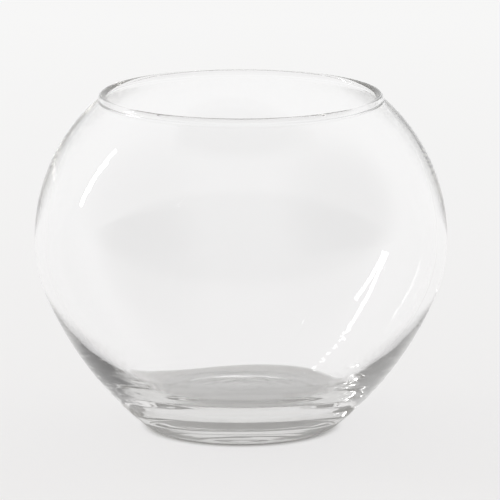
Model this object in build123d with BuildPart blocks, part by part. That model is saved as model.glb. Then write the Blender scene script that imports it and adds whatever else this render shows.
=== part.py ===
# Rose bowl vase in clear glass: one blown piece with a heavy base and a fire-polished lip.
# Millimetres, +Z up, origin on the table at the centre of the standing ring.
import os

from build123d import *

# Outside of the bowl
widest_diameter = 160.0
widest_level = 74.5  # height of the widest circle above the table
height = 131.0  # table to the top of the lip
belly_radius = 58.0  # rounding just below the widest circle
belly_angle = 23.0  # degrees of that rounding before the straighter side begins
foot_diameter = 72.0  # circle where the side would meet the table
heel_radius = 9.0  # rounding between the side and the standing ring

# Lip of the mouth
lip_diameter = 110.0  # outside of the lip
lip_thickness = 3.0
lip_rise = 2.3  # how far the lip stands above the shoulder
neck_radius = 1.2  # hollow rounding between the shoulder and the lip
mouth_radius = 1.2  # rounding below the mouth inside

# Thickness of the glass
wall_thickness = 4.0  # at the widest circle and round the belly
shoulder_thickness = 3.4  # part way up the shoulder, which thins towards the lip
shoulder_share = 0.45  # part of the shoulder, from the belly up, where that is
base_wall_thickness = 8.4  # low on the side, where the wall has thickened into the base
base_wall_share = 0.85  # part of the side, from the belly down, where that is
floor_thickness = 10.0  # table to the flat inner floor

# Hollow underside, which leaves a standing ring
hollow_diameter = 51.0
hollow_depth = 0.6

widest_radius = widest_diameter / 2
lip_radius = lip_thickness / 2
lip_outer_radius = lip_diameter / 2
lip_inner_radius = lip_outer_radius - lip_thickness
belly_center = (widest_radius - belly_radius, widest_level)


def inside_of(outer_arc, share, thickness):
    """Point of the inner surface, the given thickness square to the outer arc."""
    point = outer_arc @ share
    return point + (outer_arc.arc_center - point).normalized() * thickness


with BuildPart() as glass_bowl:
    with BuildSketch(Plane.XZ) as section:
        with BuildLine():
            # Outer surface, down from the widest circle and up to the lip
            belly = CenterArc(belly_center, belly_radius, 0, -belly_angle)
            side = TangentArc(belly @ 1, (foot_diameter / 2, 0), tangent=belly % 1)
            ring = Line(side @ 1, (hollow_diameter / 2, 0))
            underside = TangentArc((0, hollow_depth), ring @ 1, tangent=(1, 0))
            shoulder = TangentArc(belly @ 0, (lip_outer_radius, height - lip_rise), tangent=(0, 1))
            lip_side = Line(shoulder @ 1, (lip_outer_radius, height - lip_radius))
            lip = JernArc(lip_side @ 1, (0, 1), lip_radius, 180)
            # Inner surface, up to the mouth and down to the thick foot of the side
            inner_belly = CenterArc(belly_center, belly_radius - wall_thickness, 0, -belly_angle)
            inner_shoulder = TangentArc(
                inner_belly @ 0,
                inside_of(shoulder, shoulder_share, shoulder_thickness),
                tangent=(0, 1),
            )
            inner_neck = TangentArc(
                inner_shoulder @ 1,
                (lip_inner_radius, height - lip_rise),
                tangent=inner_shoulder % 1,
            )
            mouth_side = Line(lip @ 1, inner_neck @ 1)
            inner_side = TangentArc(
                inner_belly @ 1,
                inside_of(side, base_wall_share, base_wall_thickness),
                tangent=inner_belly % 1,
            )
            # Cove that turns the side level at the flat inner floor
            heading = inner_side % 1
            cove_top = inner_side @ 1
            cove_radius = (cove_top.Y - floor_thickness) / (1 + heading.X)
            cove_end = (cove_top.X + cove_radius * heading.Y, floor_thickness)
            cove = TangentArc(cove_top, cove_end, tangent=heading)
            floor = Line(cove @ 1, (0, floor_thickness))
            axis_line = Line(floor @ 1, underside @ 0)
        make_face()
        # Corners that the hot glass rounds off
        corners = section.vertices()
        fillet(corners.sort_by_distance(side @ 1)[0], heel_radius)
        corners = section.vertices()
        fillet(corners.sort_by_distance(shoulder @ 1)[0], neck_radius)
        corners = section.vertices()
        fillet(corners.sort_by_distance(inner_neck @ 1)[0], mouth_radius)
    revolve(axis=Axis.Z)

glass_bowl.part.label = "glass_bowl"

os.makedirs("parts", exist_ok=True)
export_step(glass_bowl.part, "parts/glass_bowl.step")
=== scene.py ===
import math

import bpy
import numpy as np
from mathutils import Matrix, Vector


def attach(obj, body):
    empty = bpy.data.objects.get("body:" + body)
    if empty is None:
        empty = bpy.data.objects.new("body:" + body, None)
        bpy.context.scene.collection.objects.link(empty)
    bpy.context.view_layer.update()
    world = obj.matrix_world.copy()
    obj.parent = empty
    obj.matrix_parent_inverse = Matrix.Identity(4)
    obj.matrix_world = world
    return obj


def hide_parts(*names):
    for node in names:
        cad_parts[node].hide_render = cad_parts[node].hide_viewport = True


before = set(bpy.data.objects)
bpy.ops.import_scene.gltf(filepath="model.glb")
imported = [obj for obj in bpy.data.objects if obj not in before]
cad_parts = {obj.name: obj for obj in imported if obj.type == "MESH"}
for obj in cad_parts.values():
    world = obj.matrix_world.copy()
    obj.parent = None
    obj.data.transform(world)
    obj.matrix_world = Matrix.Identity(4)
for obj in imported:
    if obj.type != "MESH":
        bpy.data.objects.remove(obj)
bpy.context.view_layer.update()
mm = 0.001
print("frame loaded:", sorted(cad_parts))

scene = bpy.context.scene
scene.view_settings.view_transform = "Standard"
bounces = 400  # light runs a long way inside thick glass before it gets out
scene.cycles.max_bounces = bounces
scene.cycles.transmission_bounces = bounces
scene.cycles.glossy_bounces = bounces


def linear(hexColour):
    # sRGB hex to linear RGBA: the standard curve, straight below 0.04045 and a 2.4 power above
    srgb = np.array([int(hexColour[i:i + 2], 16) for i in (1, 3, 5)]) / 255
    rgb = np.where(srgb <= 0.04045, srgb / 12.92, ((srgb + 0.055) / 1.055) ** 2.4)
    return (*rgb.tolist(), 1.0)


def addNode(tree, kind, sockets=None, **settings):
    # one node: settings first, then each socket gets a value or a link from another node's socket
    node = tree.nodes.new(kind)
    for key, value in settings.items():
        setattr(node, key, value)
    for key, value in (sockets or {}).items():
        if isinstance(value, bpy.types.NodeSocket):
            tree.links.new(value, node.inputs[key])
        else:
            node.inputs[key].default_value = value
    return node


def emptyTree(owner):
    # node tree of a material or a world, without the nodes it starts with
    owner.use_nodes = True
    owner.node_tree.nodes.clear()
    return owner.node_tree


# camera, in metres
view = {
    "distance": 2.40,  # from the axis of the bowl, along the floor
    "height": 0.565,
    "pitch": 11.67,  # degrees below level
    "lens": 455.0,  # mm, like the sensor
    "sensor": 36.0,
    "aside": 0.0035,  # the bowl stands a little left of the middle
    "clipEnd": 50.0,
}
camera = bpy.data.objects.new("camera", bpy.data.cameras.new("camera"))
camera.data.lens = view["lens"]
camera.data.sensor_width = view["sensor"]
camera.data.clip_end = view["clipEnd"]
camera.location = (view["aside"], -view["distance"], view["height"])
camera.rotation_euler = (math.radians(90 - view["pitch"]), 0.0, 0.0)
scene.collection.objects.link(camera)
scene.camera = camera
print("camera set")

# bowl, all sizes in mm
bowl = {
    "widest": (80.0, 74.5),  # radius and level of the widest circle
    "bellyRadius": 58.0,
    "bellyAngle": 23.0,
    "foot": 36.0,  # radius where the side would meet the table
    "heelRadius": 9.0,
    "hollow": (25.5, 0.6),  # radius and depth of the hollow underside
    "height": 131.0,
    "lipRadius": 55.0,
    "lipThickness": 3.0,
    "lipRise": 2.3,
    "neckRadius": 1.2,
    "mouthRadius": 1.2,
    "wall": 4.0,
    "midShoulder": (0.45, 3.4),  # how far up the shoulder a thickness is set, and that thickness
    "baseWall": (0.85, 8.4),  # how far down the side, and how thick, it has thickened into the base
    "floor": 10.0,
    "step": 3.2,  # between rings of points, at most
    "fineStep": 0.85,  # the same, low on the bowl
    "fineBelow": 38.0,  # the height where that begins
    "bend": 5.0,  # degrees of turn between rings of points, at most
    "turns": 256,  # points round the axis
    "samePoint": 0.0001,  # points of the section closer than this are one
    "smoothing": 41,  # points of the section over which the spacing is evened out
}

# unevenness that blowing leaves in the glass, in mm
uneven = {
    "mouldRings": ((0.026, 5.0, 0.8), (0.016, 8.3, 2.1)),  # height, step along the side, phase
    "mouldDrift": 0.8,  # how far the phase drifts round the bowl
    "mouldZone": (3.0, 7.0, 20.0, 30.0),  # they fade in and out between these heights
    "swell": (0.15, 60.0, 7.0),  # height, length and place of the slow swell on the inner floor
    "tilt": -0.004,  # inner floor falls to the right
    "settling": ((0.02, 7.0, 0.9), (0.014, 4.6, 2.4)),  # fine rings there: height, step, phase
    "settlingDrift": 0.9,  # how far the phase drifts round the axis
    "floorFade": (12.0, 34.0),  # what is on the inner floor dies out up the side between these heights
}


def arcTo(start, heading, end, count=1500):
    # circle arc that leaves start along heading and reaches end: it turns by twice the angle
    # between heading and chord, on a radius of chord squared over twice its part across heading
    start, heading, end = (np.asarray(p, float) for p in (start, heading, end))
    across = np.array([-heading[1], heading[0]])
    chord = end - start
    turn = 2 * np.arctan2(chord @ across, chord @ heading)
    swing = np.linspace(0, turn, count)[:, None]
    radius = chord @ chord / (2 * chord @ across)
    points = start + radius * (np.sin(swing) * heading + (1 - np.cos(swing)) * across)
    return points, np.cos(turn) * heading + np.sin(turn) * across


def straight(start, end, count=800):
    # evenly spaced points from start to end
    return np.linspace(start, end, count)


def sideways(points, distance):
    # the curve moved to its left by distance, point by point along its normals
    tangent = np.gradient(points, axis=0)
    tangent /= np.linalg.norm(tangent, axis=1)[:, None]
    return points + distance * np.c_[-tangent[:, 1], tangent[:, 0]]


def insideOf(outer, place, turnedLeft):
    # point of the inner surface: a share along the outer curve, then a thickness square to it
    share, thickness = place
    return sideways(outer, thickness * turnedLeft)[int(share * (len(outer) - 1))]


def roundCorner(first, second, radius, count=300):
    # both curves moved inwards by radius cross at the centre of the rounding arc
    a, b = first[-1] - first[-2], second[1] - second[0]
    side = np.sign(a[0] * b[1] - a[1] * b[0])
    movedA, movedB = sideways(first, side * radius), sideways(second, side * radius)
    gaps = np.linalg.norm(movedA[:, None] - movedB[None], axis=2)
    i, j = np.unravel_index(gaps.argmin(), gaps.shape)
    centre = (movedA[i] + movedB[j]) / 2
    spokes = np.array([first[i], second[j]]) - centre
    begin, end = np.unwrap(np.arctan2(spokes[:, 1], spokes[:, 0]))
    angle = np.linspace(begin, end, count)[:, None]
    arc = centre + radius * np.hstack([np.cos(angle), np.sin(angle)])
    return first[:i], arc, second[j + 1:]


def bowlProfile(b):
    # half section of the bowl as (radius, height): underside, side, shoulder, lip, then down inside
    wide, level = b["widest"]
    bend = math.radians(b["bellyAngle"])
    down = np.array([math.cos(bend), -math.sin(bend)])
    centre = np.array([wide - b["bellyRadius"], level])
    lipHalf = b["lipThickness"] / 2
    inLip = b["lipRadius"] - b["lipThickness"]
    neckLevel = b["height"] - b["lipRise"]
    lipLevel = b["height"] - lipHalf
    underside, _ = arcTo((0, b["hollow"][1]), (1, 0), (b["hollow"][0], 0))
    ring = straight((b["hollow"][0], 0), (b["foot"], 0))
    belly, slope = arcTo((wide, level), (0, -1), centre + b["bellyRadius"] * down)
    side, _ = arcTo(belly[-1], slope, (b["foot"], 0))
    shoulder, _ = arcTo((wide, level), (0, 1), (b["lipRadius"], neckLevel))
    lipSide = straight(shoulder[-1], (b["lipRadius"], lipLevel))
    lip, _ = arcTo(lipSide[-1], (0, 1), (inLip, lipLevel))
    inBellyEnd = centre + (b["bellyRadius"] - b["wall"]) * down
    inBelly, inSlope = arcTo((wide - b["wall"], level), (0, -1), inBellyEnd)
    inShoulder, ahead = arcTo(inBelly[0], (0, 1), insideOf(shoulder, b["midShoulder"], 1))
    inNeck, _ = arcTo(inShoulder[-1], ahead, (inLip, neckLevel))
    mouth = straight(lip[-1], inNeck[-1])
    inSide, ahead = arcTo(inBelly[-1], inSlope, insideOf(side, b["baseWall"], -1))
    coveRadius = (inSide[-1, 1] - b["floor"]) / (1 + ahead[0])
    cove, _ = arcTo(inSide[-1], ahead, (inSide[-1, 0] + coveRadius * ahead[1], b["floor"]))
    floor = straight(cove[-1], (0, b["floor"]))
    ring, heel, side = roundCorner(ring, side[::-1], b["heelRadius"])
    shoulder, neck, lipSide = roundCorner(shoulder, lipSide, b["neckRadius"])
    mouth, throat, inNeck = roundCorner(mouth, inNeck[::-1], b["mouthRadius"])
    runs = [underside, ring, heel, side, belly[::-1], shoulder, neck, lipSide, lip,
            mouth, throat, inNeck, inShoulder[::-1], inBelly, inSide, cove, floor]
    return np.vstack(runs)


def evenProfile(points, b):
    # the same curve with points no further apart than the step or the bend: each short run is
    # counted as a share of one spacing, and the sum of the shares is cut into equal parts
    keep = np.r_[True, np.linalg.norm(np.diff(points, axis=0), axis=1) > b["samePoint"]]
    points = points[keep]
    run = np.linalg.norm(np.diff(points, axis=0), axis=1)
    heading = np.unwrap(np.arctan2(np.diff(points[:, 1]), np.diff(points[:, 0])))
    turn = np.abs(np.gradient(heading))
    step = np.where(points[1:, 1] < b["fineBelow"], b["fineStep"], b["step"])
    share = np.maximum(run / step, turn / math.radians(b["bend"]))
    span = b["smoothing"]
    share = np.convolve(np.pad(share, span // 2, mode="edge"), np.ones(span) / span, mode="valid")
    reach = np.r_[0, np.cumsum(share)]
    want = np.linspace(0, reach[-1], int(reach[-1]) + 1)
    return np.column_stack([np.interp(want, reach, points[:, k]) for k in (0, 1)])


def fade(value, start, end):
    # 0 at start, 1 at end and level at both: t squared times three less two t
    t = np.clip((value - start) / (end - start), 0, 1)
    return t * t * (3 - 2 * t)


def blownUnevenness(r, z, v, run, inside, u):
    # how far each point lies off the true form along its normal, in mm
    x = r * np.cos(v)
    # rings of the mould: sines along the outside whose phase drifts round the bowl
    low, lowFull, highFull, high = u["mouldZone"]
    zone = (1 - inside) * fade(z, low, lowFull) * fade(z, high, highFull)
    rings = sum(h * np.sin(2 * np.pi * run / s + p + u["mouldDrift"] * np.sin(v + p))
                for h, s, p in u["mouldRings"])
    # inner floor: a slow cosine across it, a tilt, and sines of the distance from the axis
    height, length, place = u["swell"]
    swell = height * np.cos(2 * np.pi * (x - place) / length) + u["tilt"] * x
    settled = sum(h * np.sin(2 * np.pi * r / s + p + u["settlingDrift"] * np.sin(2 * v + p))
                  for h, s, p in u["settling"])
    full, none = u["floorFade"]
    return zone * rings + inside * fade(z, none, full) * (swell + settled)


def turnedSurface(profile, b, u):
    # profile carried round the axis: x = r cos v, y = r sin v, z = height, then pushed along its normal
    v = np.linspace(0, 2 * np.pi, b["turns"], endpoint=False)
    tangent = np.gradient(profile, axis=0)
    tangent /= np.linalg.norm(tangent, axis=1)[:, None]
    run = np.r_[0, np.cumsum(np.linalg.norm(np.diff(profile, axis=0), axis=1))]
    r, z, run = profile[1:-1, :1], profile[1:-1, 1:], run[1:-1, None]
    out, up = tangent[1:-1, 1:], -tangent[1:-1, :1]
    inside = 1.0 * (np.arange(len(r)) > z.argmax())[:, None]  # 1 past the top of the lip, 0 before it
    push = blownUnevenness(r, z, v, run, inside, u)
    radius = r + push * out
    return np.stack([radius * np.cos(v), radius * np.sin(v), z + push * up], axis=2)


def closedMesh(name, grid):
    # rings of quads between neighbours, and a fan of triangles to the middle of each end ring
    rings, turns = grid.shape[:2]
    index = np.arange(rings * turns).reshape(rings, turns)
    nextTurn = np.roll(index, -1, axis=1)
    quads = np.stack([index[:-1], nextTurn[:-1], nextTurn[1:], index[1:]], axis=2).reshape(-1, 4)
    first, last = rings * turns, rings * turns + 1
    fanA = np.column_stack([np.full(turns, first), nextTurn[0], index[0]])
    fanB = np.column_stack([np.full(turns, last), index[-1], nextTurn[-1]])
    points = np.vstack([grid.reshape(-1, 3), grid[0].mean(axis=0), grid[-1].mean(axis=0)]) * mm
    mesh = bpy.data.meshes.new(name)
    mesh.from_pydata(points.tolist(), [], quads.tolist() + fanA.tolist() + fanB.tolist())
    mesh.polygons.foreach_set("use_smooth", np.ones(len(mesh.polygons), bool))
    mesh.update()
    return mesh


profile = evenProfile(bowlProfile(bowl), bowl)
bowlMesh = closedMesh("rose_bowl", turnedSurface(profile, bowl, uneven))
bowlPiece = bpy.data.objects.new("rose_bowl", bowlMesh)
scene.collection.objects.link(bowlPiece)
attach(bowlPiece, "root")
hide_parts("glass_bowl")
print("bowl made:", len(profile), "rings,", len(bowlMesh.polygons), "faces")

# soda-lime glass, blown and fire-polished: clear, hard reflections, a trace of grey where it is thick,
# cords that wander a little in the melt and a faint film of handling
glass = {
    "ior": 1.52,
    "colour": "#ffffff",  # the surface takes no light away
    "tint": "#b9b7b2",  # the depth does
    "density": 4.0,  # of the tint, per metre
    "cordSize": 26.0,  # mm between cords
    "cordDepth": 0.004,  # mm
    "cordDetail": 1.0,
    "filmSize": 60.0,  # mm across a patch of film
    "filmDetail": 4.0,
    "filmPatch": (0.5, 0.8),  # noise where the film begins and where it is full
    "filmRoughness": 0.012,
}
glassMaterial = bpy.data.materials.new("soda_lime_glass_fire_polished")
tree = emptyTree(glassMaterial)
place = addNode(tree, "ShaderNodeTexCoord")
cords = addNode(tree, "ShaderNodeTexNoise", {
    "Vector": place.outputs["Object"], "Scale": 1 / (glass["cordSize"] * mm),
    "Detail": glass["cordDetail"]})
cordBump = addNode(tree, "ShaderNodeBump", {
    "Strength": 1.0, "Distance": glass["cordDepth"] * mm, "Height": cords.outputs[0]})
film = addNode(tree, "ShaderNodeTexNoise", {
    "Vector": place.outputs["Object"], "Scale": 1 / (glass["filmSize"] * mm),
    "Detail": glass["filmDetail"]})
bare, filmed = glass["filmPatch"]
filmRoughness = addNode(tree, "ShaderNodeMapRange", {
    "Value": film.outputs[0], "From Min": bare, "From Max": filmed,
    "To Min": 0.0, "To Max": glass["filmRoughness"]})
surface = addNode(tree, "ShaderNodeBsdfPrincipled", {
    "Base Color": linear(glass["colour"]),
    "Roughness": filmRoughness.outputs[0],
    "IOR": glass["ior"],
    "Transmission Weight": 1.0,
    "Normal": cordBump.outputs[0],
})
melt = addNode(tree, "ShaderNodeVolumeAbsorption", {
    "Color": linear(glass["tint"]), "Density": glass["density"]})
addNode(tree, "ShaderNodeOutputMaterial", {"Surface": surface.outputs[0], "Volume": melt.outputs[0]})
bowlMesh.materials.append(glassMaterial)
print("glass set")

# floor of uncoated paper: pale, matt, without shine. Part of what is seen of it is a plain colour, so
# that the background stays even, and the rest is lit and keeps the shadow. All in metres
paper = {
    "reach": 4.0,
    "drop": 0.0002,  # below the standing ring
    "colour": "#f5f3ef",
    "unlit": "#000000",
    "near": "#f3f2f2",  # plain colour at the front of the sheet
    "far": "#fdfdfd",  # and at the back
    "nearLine": -0.08,
    "farLine": 0.95,
    "seen": 0.85,  # part of the plain colour in what the camera sees
    "footShade": (0.033, 0.040),  # none of it nearer the axis than the first, that part past the second
    "seenThrough": 1.0,  # part of it in what the glass shows
    "seenUnder": 0.17,  # and in the round shade under the bowl that the glass shows, whose edge is painted; inside it the sheet is lit and shaded
    "shade": (0.0485, 0.002),  # radius and softness of that shade
    "shadeWave": (0.005, 4, 75.0),  # height, number and place in degrees of the waves in its edge
    "waveFade": (-0.03, 0.02),  # the waves die out towards the camera between these
    "fadeStart": -0.15,  # towards the camera painted shade darkens the sheet from here
    "fadeEnd": -0.5,
    "fadeLevel": 0.55,
}
corners = np.array([(-1, -1), (1, -1), (1, 1), (-1, 1)]) * paper["reach"]
floorMesh = bpy.data.meshes.new("floor")
floorMesh.from_pydata(np.c_[corners, np.full(4, -paper["drop"])].tolist(), [], [(0, 1, 2, 3)])
floor = bpy.data.objects.new("floor", floorMesh)
scene.collection.objects.link(floor)
paperMaterial = bpy.data.materials.new("matt_paper_sheet")
tree = emptyTree(paperMaterial)
place = addNode(tree, "ShaderNodeTexCoord")
axes = addNode(tree, "ShaderNodeSeparateXYZ", {0: place.outputs["Object"]})
away = addNode(tree, "ShaderNodeMapRange", {
    "Value": axes.outputs["Y"], "From Min": paper["nearLine"], "From Max": paper["farLine"]})
plain = addNode(tree, "ShaderNodeMix", {
    "Factor": away.outputs[0], "A": linear(paper["near"]), "B": linear(paper["far"])}, data_type="RGBA")
lightPath = addNode(tree, "ShaderNodeLightPath")
# round shade with a painted edge, inside which the glass shows the sheet lit and shaded: distance from
# the axis less a cosine of the angle round it, which dies out at the front
fromAxis = addNode(tree, "ShaderNodeVectorMath", {0: place.outputs["Object"]}, operation="LENGTH")
around = addNode(tree, "ShaderNodeMath", {
    0: axes.outputs["Y"], 1: axes.outputs["X"]}, operation="ARCTAN2")
height, count, start = paper["shadeWave"]
swing = addNode(tree, "ShaderNodeMath", {
    0: around.outputs[0], 1: count, 2: -count * math.radians(start)}, operation="MULTIPLY_ADD")
wave = addNode(tree, "ShaderNodeMath", {0: swing.outputs[0]}, operation="COSINE")
calm, full = paper["waveFade"]
size = addNode(tree, "ShaderNodeMapRange", {
    "Value": axes.outputs["Y"], "From Min": calm, "From Max": full,
    "To Min": 0.0, "To Max": -height}, interpolation_type="SMOOTHSTEP")
edge = addNode(tree, "ShaderNodeMath", {
    0: wave.outputs[0], 1: size.outputs[0], 2: fromAxis.outputs["Value"]}, operation="MULTIPLY_ADD")
radius, soft = paper["shade"]
openSheet = addNode(tree, "ShaderNodeMapRange", {
    "Value": edge.outputs[0], "From Min": radius - soft, "From Max": radius + soft,
    "To Min": paper["seenUnder"], "To Max": paper["seenThrough"]}, interpolation_type="SMOOTHSTEP")
byGlass = addNode(tree, "ShaderNodeMath", {
    0: lightPath.outputs["Is Transmission Ray"], 1: lightPath.outputs["Is Glossy Ray"]},
    operation="MAXIMUM")
through = addNode(tree, "ShaderNodeMath", {
    0: byGlass.outputs[0], 1: openSheet.outputs[0]}, operation="MULTIPLY")
# what the camera sees: the plain colour, less at the foot of the bowl
footDark, footClear = paper["footShade"]
clear = addNode(tree, "ShaderNodeMapRange", {
    "Value": fromAxis.outputs["Value"], "From Min": footDark, "From Max": footClear,
    "To Min": 0.0, "To Max": paper["seen"]}, interpolation_type="SMOOTHSTEP")
shown = addNode(tree, "ShaderNodeMath", {
    0: lightPath.outputs["Is Camera Ray"], 1: clear.outputs[0], 2: through.outputs[0]},
    operation="MULTIPLY_ADD")
# towards the camera painted shade darkens the sheet, for the dimmer studio on that side, but not the
# plain colour that the camera sees
paintedFalloff = addNode(tree, "ShaderNodeMapRange", {
    "Value": axes.outputs["Y"], "From Min": paper["fadeStart"], "From Max": paper["fadeEnd"],
    "To Min": 1.0, "To Max": paper["fadeLevel"]}, interpolation_type="SMOOTHSTEP")
sheet = addNode(tree, "ShaderNodeMix", {
    "Factor": paintedFalloff.outputs[0], "A": linear(paper["unlit"]), "B": linear(paper["colour"])},
    data_type="RGBA")
matt = addNode(tree, "ShaderNodeBsdfDiffuse", {"Color": sheet.outputs["Result"]})
strength = addNode(tree, "ShaderNodeMath", {
    0: paintedFalloff.outputs[0], 1: lightPath.outputs["Is Camera Ray"]}, operation="MAXIMUM")
glow = addNode(tree, "ShaderNodeEmission", {
    "Color": plain.outputs["Result"], "Strength": strength.outputs[0]})
mixed = addNode(tree, "ShaderNodeMixShader", {
    0: shown.outputs[0], 1: matt.outputs[0], 2: glow.outputs[0]})
addNode(tree, "ShaderNodeOutputMaterial", {"Surface": mixed.outputs[0]})
floorMesh.materials.append(paperMaterial)
print("floor set")

# studio: white behind and above, dimmer on the side of the camera and darker still to its left and
# right, which the thick foot of the bowl gathers into dark streaks
studio = {
    "colour": "#fafafa",
    "white": 1.0,  # strength where nothing dims it
    # direction of the middle, level, degrees from the middle to its plain part and to its edge
    "front": ((0.0, -1.0, 0.25), 0.5, 40.0, 110.0),
    "right": ((0.84, -0.39, 0.34), 0.15, 4.0, 44.0),
    "left": ((-0.84, -0.39, 0.34), 0.6, 4.0, 44.0),
}
world = bpy.data.worlds.new("studio")
scene.world = world
tree = emptyTree(world)
direction = addNode(tree, "ShaderNodeTexCoord")


def dimmed(light, towards, level, core, edge):
    # light times a factor that falls smoothly from 1 to the level as the direction nears the middle
    near = addNode(tree, "ShaderNodeVectorMath", {
        0: direction.outputs["Generated"], 1: Vector(towards).normalized()}, operation="DOT_PRODUCT")
    factor = addNode(tree, "ShaderNodeMapRange", {
        "Value": near.outputs["Value"],
        "From Min": math.cos(math.radians(edge)), "From Max": math.cos(math.radians(core)),
        "To Min": 1.0, "To Max": level}, interpolation_type="SMOOTHSTEP")
    product = addNode(tree, "ShaderNodeMath", {0: light, 1: factor.outputs[0]}, operation="MULTIPLY")
    return product.outputs[0]


light = studio["white"]
for part in ("front", "right", "left"):
    light = dimmed(light, *studio[part])
# the camera sees the sky undimmed
lightPath = addNode(tree, "ShaderNodeLightPath")
bright = addNode(tree, "ShaderNodeMath", {
    0: light, 1: lightPath.outputs["Is Camera Ray"]}, operation="MAXIMUM")
sky = addNode(tree, "ShaderNodeBackground", {
    "Color": linear(studio["colour"]), "Strength": bright.outputs[0]})
addNode(tree, "ShaderNodeOutputWorld", {"Surface": sky.outputs[0]})

# one narrow strip lamp on the left, which draws the long highlights, in metres and watts
strip = {
    "place": (-1.450, 0.361, 0.643),
    "aim": (0.0, 0.0, 0.07),
    "width": 0.08,
    "length": 0.60,
    "power": 3.2,
}
lamp = bpy.data.lights.new("strip_lamp", "AREA")
lamp.shape = "RECTANGLE"
lamp.size = strip["width"]
lamp.size_y = strip["length"]
lamp.energy = strip["power"]
lampHolder = bpy.data.objects.new("strip_lamp", lamp)
lampHolder.location = strip["place"]
toAim = Vector(strip["aim"]) - Vector(strip["place"])
lampHolder.rotation_euler = toAim.to_track_quat("-Z", "Y").to_euler()
scene.collection.objects.link(lampHolder)
print("light set")
